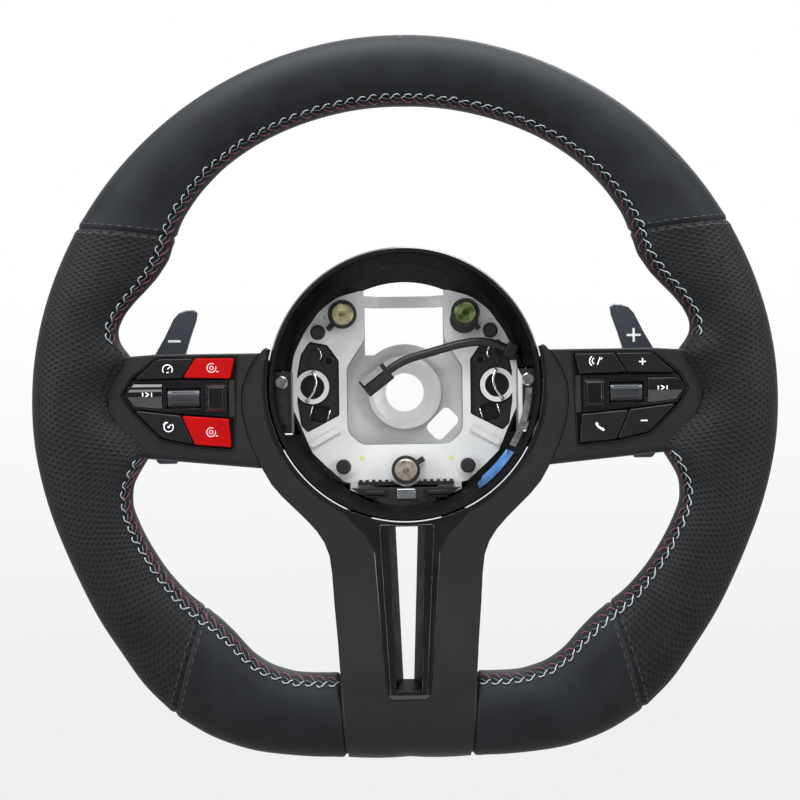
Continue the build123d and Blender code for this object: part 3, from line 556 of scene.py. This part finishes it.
def with_uv(o, angles):
    """UV in millimetres, along the rim and round the section, for the holes."""
    m = len(PHIS)
    index = np.zeros(len(o.data.loops), np.int32)
    o.data.loops.foreach_get("vertex_index", index)
    row, k = np.divmod(index % (len(angles) * m), m)
    start = np.array([p.loop_start for p in o.data.polygons])
    total = np.array([p.loop_total for p in o.data.polygons])
    crosses = np.maximum.reduceat(k, start) - np.minimum.reduceat(k, start) > m // 2
    v = PHIS[k] / (2 * math.pi) * UV_ROUND
    v = np.where(np.repeat(crosses, total) & (k < m // 2), v + UV_ROUND, v)
    uv = np.stack([angles[row] * UV_ALONG, v], axis=1).astype(np.float32)
    o.data.uv_layers.new(name="mm").data.foreach_set("uv", uv.ravel())


def build_leather(name, start, stop, sides, material, node, open_start=True):
    """Leather between two seams, in place of its CAD skin."""
    verts, faces = [], []
    for side in sides:
        v, f, angles = leather_half(start, stop, side, open_start)
        faces += [tuple(len(verts) + i for i in face) for face in f]
        verts += list(v)
    o = add_mesh(name, verts, faces, material)
    with_uv(o, angles)
    if len(sides) == 2:
        weld = o.modifiers.new("weld", "WELD")
        weld.merge_threshold = 0.00005
    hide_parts(node)


build_leather("rim_leather_top", 0.0, UPPER_SEAM, (1, -1), "leather_smooth", "leather_top",
              open_start=False)
for side, word in SIDES:
    build_leather(f"rim_leather_{word}_grip", UPPER_SEAM, LOWER_SEAM, (side,),
                  "leather_perforated", f"leather_{word}_grip")
    build_leather(f"rim_leather_bottom_{word}", LOWER_SEAM, TRIM_SEAM, (side,),
                  "leather_smooth", f"leather_bottom_{word}")


# ---------------------------------------------------------------- stitching
def seam_point(t, off, lift):
    """Point beside the stitched seam: t is the signed angle from the top, off in mm."""
    phi = SEAM_PHI + off / SEAM_RADIUS
    return np.where((t >= 0)[:, None], rim_point(np.abs(t), phi, lift, 1),
                    rim_point(np.abs(t), phi, lift, -1))


def seam_angles(start, stop, pitch):
    """Signed angles at even distances along the seam, from left to right."""
    t = np.linspace(start, stop, 4000)
    p = seam_point(t, np.zeros_like(t), 0.0)
    s = np.concatenate([[0], np.cumsum(np.linalg.norm(np.diff(p, axis=0), axis=1))])
    count = int(s[-1] / pitch)
    return np.interp(np.arange(count + 1) * s[-1] / count, s, t)


def thread(t0, t1, shape, jitter, lift):
    """One stitch between two angles; shape is [(fraction, offset mm, height 0..1)]."""
    f, off, up = np.array(shape).T
    f, off = f + jitter[0], off * (1 + jitter[1])
    fine = np.linspace(0, len(shape) - 1, 3 * len(shape) - 2)
    f, off, up = (np.interp(fine, np.arange(len(shape)), v) for v in (f, off, up))
    return seam_point(t0 + (t1 - t0) * f, off, -0.35 + lift * up) * MM


rng = np.random.default_rng(7)
WHITE_STITCH = [(0.00, -0.5, 0.1), (0.28, 1.1, 0.9), (0.42, 2.2, 1.0), (0.70, 2.6, 1.0),
                (0.84, 2.2, 0.9), (0.90, 1.5, 0.1)]
RED_STITCH = [(0.06, -0.4, 0.1), (0.34, -2.0, 0.9), (0.52, -3.2, 1.0), (0.82, -3.7, 1.0),
              (0.94, -3.2, 0.1)]
TEAL_STITCH = [(0.18, 1.3, 0.1), (0.55, 0.1, 0.8), (0.92, -1.2, 0.1)]
STITCH_PITCH = 5.7                         # mm
# the seam runs over the top between the spokes, and down each side to the lower trim
SEAM_RUNS = ((-80.4, 80.4), (103.6, TRIM_SEAM - 0.3), (-TRIM_SEAM + 0.3, -103.6))
THREADS = (("white", WHITE_STITCH, 0.75, 0.27), ("red", RED_STITCH, 0.72, 0.30),
           ("teal", TEAL_STITCH, 0.6, 0.28))
stitches = {colour: [] for colour, *rest in THREADS}
for start, stop in SEAM_RUNS:
    at = seam_angles(start, stop, STITCH_PITCH)
    for t0, t1 in zip(at[:-1], at[1:]):
        jitters = rng.normal(0, 1, (len(THREADS), 2)) * (0.035, 0.10)
        for (colour, shape, lift, radius), jitter in zip(THREADS, jitters):
            stitches[colour].append(thread(t0, t1, shape, jitter, lift))
for colour, shape, lift, radius in THREADS:
    v, f = tube_mesh(stitches[colour], radius * MM)
    add_mesh(f"stitches_{colour}", v, f, f"thread_{colour}")

# small black stitches beside the seams that cross the rim
PHI_PER_MM = 1 / 17.0
dark = []
for side in (1, -1):
    for seam in (UPPER_SEAM, LOWER_SEAM):
        for off in (-0.85, 0.85):
            for phi in np.arange(0, 2 * math.pi, 3.1 * PHI_PER_MM):
                turn = phi + np.linspace(0, 2.0, 5) * PHI_PER_MM
                rise = -0.3 + 0.22 * np.sin(np.linspace(0.3, math.pi - 0.3, 5))
                dark.append(rim_point(np.full(5, seam + off), turn, rise, side) * MM)
v, f = tube_mesh(dark, 0.22 * MM, 5)
add_mesh("stitches_black", v, f, "thread_black")


# ---------------------------------------------------------------- marks on keys and paddles
# A stroke is (points in mm, width, closed) in the X, Z plane.
def ribbon(points, width, closed):
    """Left and right edges of a stroke."""
    p = np.array(points, float)
    along = np.roll(p, -1, 0) - np.roll(p, 1, 0) if closed else np.gradient(p, axis=0)
    along /= np.linalg.norm(along, axis=1)[:, None]
    normal = np.stack([-along[:, 1], along[:, 0]], 1) * width / 2
    return p + normal, p - normal


MARK_DEPTH = 0.12


def mark(name, strokes, centre, y, body, material="icon_white"):
    """Raised printed mark, with its strokes about the centre."""
    verts, faces = [], []
    for pts, width, closed in strokes:
        left, right = ribbon(pts, width, closed)
        n = len(left)
        base = len(verts)
        for row, dy in ((left, 0), (right, 0), (left, MARK_DEPTH), (right, MARK_DEPTH)):
            verts += [((centre[0] + q[0]) * MM, (y + dy) * MM, (centre[1] + q[1]) * MM)
                      for q in row]
        for i in range(n if closed else n - 1):
            j = (i + 1) % n
            a, b, c, d = base, base + n, base + 2 * n, base + 3 * n
            faces += [(a + i, a + j, b + j, b + i), (a + i, c + i, c + j, a + j),
                      (b + i, b + j, d + j, d + i)]
    add_mesh(name, verts, faces, material, body=body, smooth=False)


def arc(r, a0, a1, n=20, cx=0.0, cz=0.0, rz=None):
    rz = rz or r
    t = np.radians(np.linspace(a0, a1, n))
    return [(cx + r * math.cos(v), cz + rz * math.sin(v)) for v in t]


def line(x0, z0, x1, z1, width):
    return ([(x0 + (x1 - x0) * v, z0 + (z1 - z0) * v) for v in (0, 0.5, 1)], width, False)


CAP_Y, KEY_Y, PADDLE_Y = -54.05, -54.26, -16.32     # fronts of the marks, mm
W = 0.46                                            # usual stroke width, mm
gauge = [(arc(2.4, -35, 215, 22), W, False), line(0, 0.2, 1.4, 1.5, W),
         line(-0.5, -1.4, 0.5, -1.4, W)]
dial = [(arc(2.3, 100, 400, 24), W, False), line(-2.7, 1.0, -1.3, 2.6, W),
        line(0, 0, 1.2, 1.2, W), (arc(0.35, 0, 345, 24), 0.4, True)]
swirl = [(arc(2.2, 60, 380, 24), 0.36, False), (arc(0.9, 0, 345, 14), 0.34, True),
         line(2.3, -1.9, 3.4, -1.9, 0.36)]
voice = [(arc(1.5, 110, 250, 12, -0.2), W, False), (arc(2.8, 125, 235, 12, -0.2), W, False),
         line(0.9, -1.9, 2.2, 1.9, W), line(2.5, 0.6, 3.3, 1.6, W)]
phone = [(arc(4.2, 200, 258, 12, 2.2, 3.0), 1.0, False), line(-1.95, 1.0, -1.3, 2.0, 1.3),
         line(0.9, -1.6, 1.9, -1.1, 1.3)]
plus = [line(-1.7, 0, 1.7, 0, 0.6), line(0, -1.7, 0, 1.7, 0.6)]
minus = [line(-1.7, 0, 1.7, 0, 0.6)]
bars = [line(-2.2, -1.0, -2.2, 1.0, 0.5), line(-0.8, -1.0, 0.9, 0, 0.5),
        line(0.9, 0, -0.8, 1.0, 0.5), line(2.2, -1.0, 2.2, 1.0, 0.5)]

for name, strokes, centre, node in (
        ("mark_gauge", gauge, (-117.4, 12.6), "button_top_outer_left"),
        ("mark_limit_upper", swirl, (-95.6, 13.2), "button_top_inner_left"),
        ("mark_dial", dial, (-117.2, -15.8), "button_low_outer_left"),
        ("mark_limit_lower", swirl, (-96.2, -18.6), "button_low_inner_left"),
        ("mark_voice", voice, (94.6, 14.0), "button_top_inner_right"),
        ("mark_more", plus, (117.8, 13.4), "button_top_outer_right"),
        ("mark_phone", phone, (96.4, -18.6), "button_low_inner_right"),
        ("mark_less", minus, (118.2, -15.8), "button_low_outer_right")):
    mark(name, strokes, centre, CAP_Y, node, "icon_rose" if "limit" in name else "icon_white")
for side, word in SIDES:
    mark(f"mark_mode_{word}", bars, (side * 127.6, 0.4), KEY_Y, f"mode_key_{word}")
mark("mark_paddle_less", [line(-3.2, 0, 3.2, 0, 1.15)], (-118.5, 27.9), PADDLE_Y, "paddle_left")
mark("mark_paddle_more", [line(-3.6, 0, 3.6, 0, 1.15), line(0, -3.6, 0, 3.6, 1.15)],
     (118.5, 27.9), PADDLE_Y, "paddle_right")

# dabs of inspection paint on the plate: place and radius in mm
DAB_FRONT, DAB_BACK = -24.06, -23.9
for i, (x, z, r) in enumerate(((-39.5, 38.8, 1.5), (44.2, 36.4, 1.3), (-22.3, -33.4, 1.2),
                               (23.3, -33.9, 1.2))):
    outline = [(x + r * (1 + 0.12 * math.sin(3 * t + i)) * math.cos(t),
                z + r * (1 + 0.10 * math.cos(2 * t)) * math.sin(t))
               for t in np.linspace(0, 2 * math.pi, 25)[:-1]]
    n = len(outline)
    v = [(a * MM, y * MM, b * MM) for y in (DAB_FRONT, DAB_BACK) for a, b in outline]
    f = [tuple(range(n))] + [(k, k + n, (k + 1) % n + n, (k + 1) % n) for k in range(n)]
    add_mesh(f"paint_dab_{i + 1}", v, f, "paint_dot", smooth=False)

# spring blades and a bent wire in each side insert
BLADE_LENGTH, BLADE_TILT = 7.4, math.radians(15)
dx, dz = -math.sin(BLADE_TILT) * BLADE_LENGTH / 2, math.cos(BLADE_TILT) * BLADE_LENGTH / 2
blades = []
for side in (1, -1):
    for x, z in ((39.2, -11.8), (48.0, -9.4)):
        blades.append([(side * (x - dx) * MM, -22.9 * MM, (z - dz) * MM),
                       (side * x * MM, -23.2 * MM, z * MM),
                       (side * (x + dx) * MM, -22.9 * MM, (z + dz) * MM)])
    blades.append([(side * a * MM, -23.6 * MM, b * MM)
                   for a, b in arc(4.6, 120, 215, 7, 47.2, 19.6)])
v, f = tube_mesh(blades, 0.42 * MM)
add_mesh("insert_blades", v, f, "bright_steel")

# ---------------------------------------------------------------- harness cable
ROUTE = [(-8.04, -29.0, 11.12), (-1.70, -29.0, 16.00), (14.0, -30.5, 20.2), (31.0, -31.0, 24.9),
         (44.0, -30.6, 25.2), (51.6, -29.8, 21.6)]
curve = bpy.data.curves.new("harness_cable", "CURVE")
curve.dimensions = "3D"
curve.resolution_u = 24
curve.bevel_depth = 2.2 * MM
curve.bevel_resolution = 8
curve.use_fill_caps = True
spline = curve.splines.new("NURBS")
spline.points.add(len(ROUTE) - 1)
for point, (x, y, z) in zip(spline.points, ROUTE):
    point.co = (x * MM, y * MM, z * MM, 1)
spline.order_u = 3
spline.use_endpoint_u = True
cable = bpy.data.objects.new("harness_cable", curve)
bpy.context.scene.collection.objects.link(cable)
curve.materials.append(M["black_plastic"])
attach(cable, ROOT)
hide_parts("cable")


# ---------------------------------------------------------------- camera
scene = bpy.context.scene
cam_data = bpy.data.cameras.new("camera")
cam_data.lens = 81.0
cam_data.sensor_width = 36.0
cam_data.clip_start = 0.05
cam_data.clip_end = 20.0
cam = bpy.data.objects.new("camera", cam_data)
scene.collection.objects.link(cam)
cam.location = (-0.0025, -0.945, -0.004)
cam.rotation_euler = Vector((0.0, 1.0, 0.0)).to_track_quat("-Z", "Y").to_euler()
cam.rotation_euler.rotate_axis("Z", math.radians(-0.8))
scene.camera = cam

# ---------------------------------------------------------------- room and light
scene.view_settings.view_transform = "Standard"
scene.view_settings.look = "None"
world = bpy.data.worlds.new("studio")
scene.world = world
world.use_nodes = True
sky = world.node_tree.nodes["Background"]
sky.inputs["Color"].default_value = (0.93, 0.95, 1.0, 1)
sky.inputs["Strength"].default_value = 0.08


def backdrop_material():
    """Evenly lit paper: white at the top, a little greyer towards the floor."""
    m, nt, b = shader("stage_paper", (0.0, 0.0, 0.0), 1.0)
    sep = nt.nodes.new("ShaderNodeSeparateXYZ")
    nt.links.new(coords(nt), sep.inputs[0])
    fac = span(nt, sep.outputs["Z"], -0.40, 0.15, 0.0, 1.0)
    colour = mix_colour(nt, fac, (0.86, 0.865, 0.87), (1.0, 1.0, 1.0))
    nt.links.new(colour, b.inputs["Emission Color"])
    b.inputs["Emission Strength"].default_value = 1.0
    b.inputs["Specular IOR Level"].default_value = 0.0
    return m


PAPER = backdrop_material()
FLOOR_Z, SWEEP, WALL_TOP = -0.42, 0.5, 3.5


def sweep_profile(start):
    """(distance, height) up a quarter curve from the floor, and on up a wall."""
    turn = np.linspace(0, math.pi / 2, 17)
    curve = [(start + SWEEP * math.sin(t), FLOOR_Z + SWEEP * (1 - math.cos(t))) for t in turn]
    return curve + [(start + SWEEP, WALL_TOP)]


def paper_sheet(name, rows):
    """Backdrop through rows of points, in metres."""
    n = len(rows[0])
    me = bpy.data.meshes.new(name)
    me.from_pydata([p for row in rows for p in row], [],
                   [(i * n + k, i * n + k + 1, (i + 1) * n + k + 1, (i + 1) * n + k)
                    for i in range(len(rows) - 1) for k in range(n - 1)])
    me.materials.append(PAPER)
    for p in me.polygons:
        p.use_smooth = True
    o = bpy.data.objects.new(name, me)
    scene.collection.objects.link(o)
    return o


# one sheet sweeps from the floor up the wall behind the wheel
paper_sheet("paper", [[(-3.5, y, z), (3.5, y, z)]
                      for y, z in [(-3.5, FLOOR_Z)] + sweep_profile(1.3)])
# a round wall closes the room for the other views, and gives no light
cove = paper_sheet("cove", [[(r * math.sin(t), r * math.cos(t), z + 0.001)
                             for t in np.linspace(0, 2 * math.pi, 97)]
                            for r, z in sweep_profile(2.9)])
cove.visible_diffuse = cove.visible_glossy = cove.visible_transmission = False
cove.visible_shadow = False


def area_light(name, place, width, height, power, colour=(1, 1, 1), glints=False):
    """Rectangular light aimed at the wheel; one for glints shows in reflections only."""
    d = bpy.data.lights.new(name, "AREA")
    d.shape = "RECTANGLE"
    d.size = width
    d.size_y = height
    d.energy = power
    d.color = colour
    o = bpy.data.objects.new(name, d)
    scene.collection.objects.link(o)
    o.location = place
    o.rotation_euler = (-Vector(place)).to_track_quat("-Z", "Y").to_euler()
    o.visible_camera = False
    o.visible_diffuse = not glints


COOL, COOLER = (0.96, 0.98, 1.0), (0.95, 0.98, 1.0)
area_light("light_top", (0.0, -0.25, 1.1), 1.5, 0.8, 45.0, COOLER)
area_light("light_back", (0.4, 1.1, 0.9), 1.0, 0.6, 9.0)
area_light("light_left", (-1.1, -0.7, 0.35), 0.25, 1.0, 9.0, COOL)
area_light("light_right", (1.1, -0.7, 0.35), 0.25, 1.0, 7.5, COOL)
area_light("light_high", (-0.3, -1.15, 1.45), 1.2, 0.5, 8.0)
area_light("light_front", (-0.25, -1.7, 0.75), 1.0, 0.4, 3.4)
area_light("glints_left", (-1.3, -0.75, 0.0), 0.22, 1.3, 10.0, glints=True)
area_light("glints_right", (1.3, -0.75, 0.0), 0.22, 1.3, 10.0, glints=True)
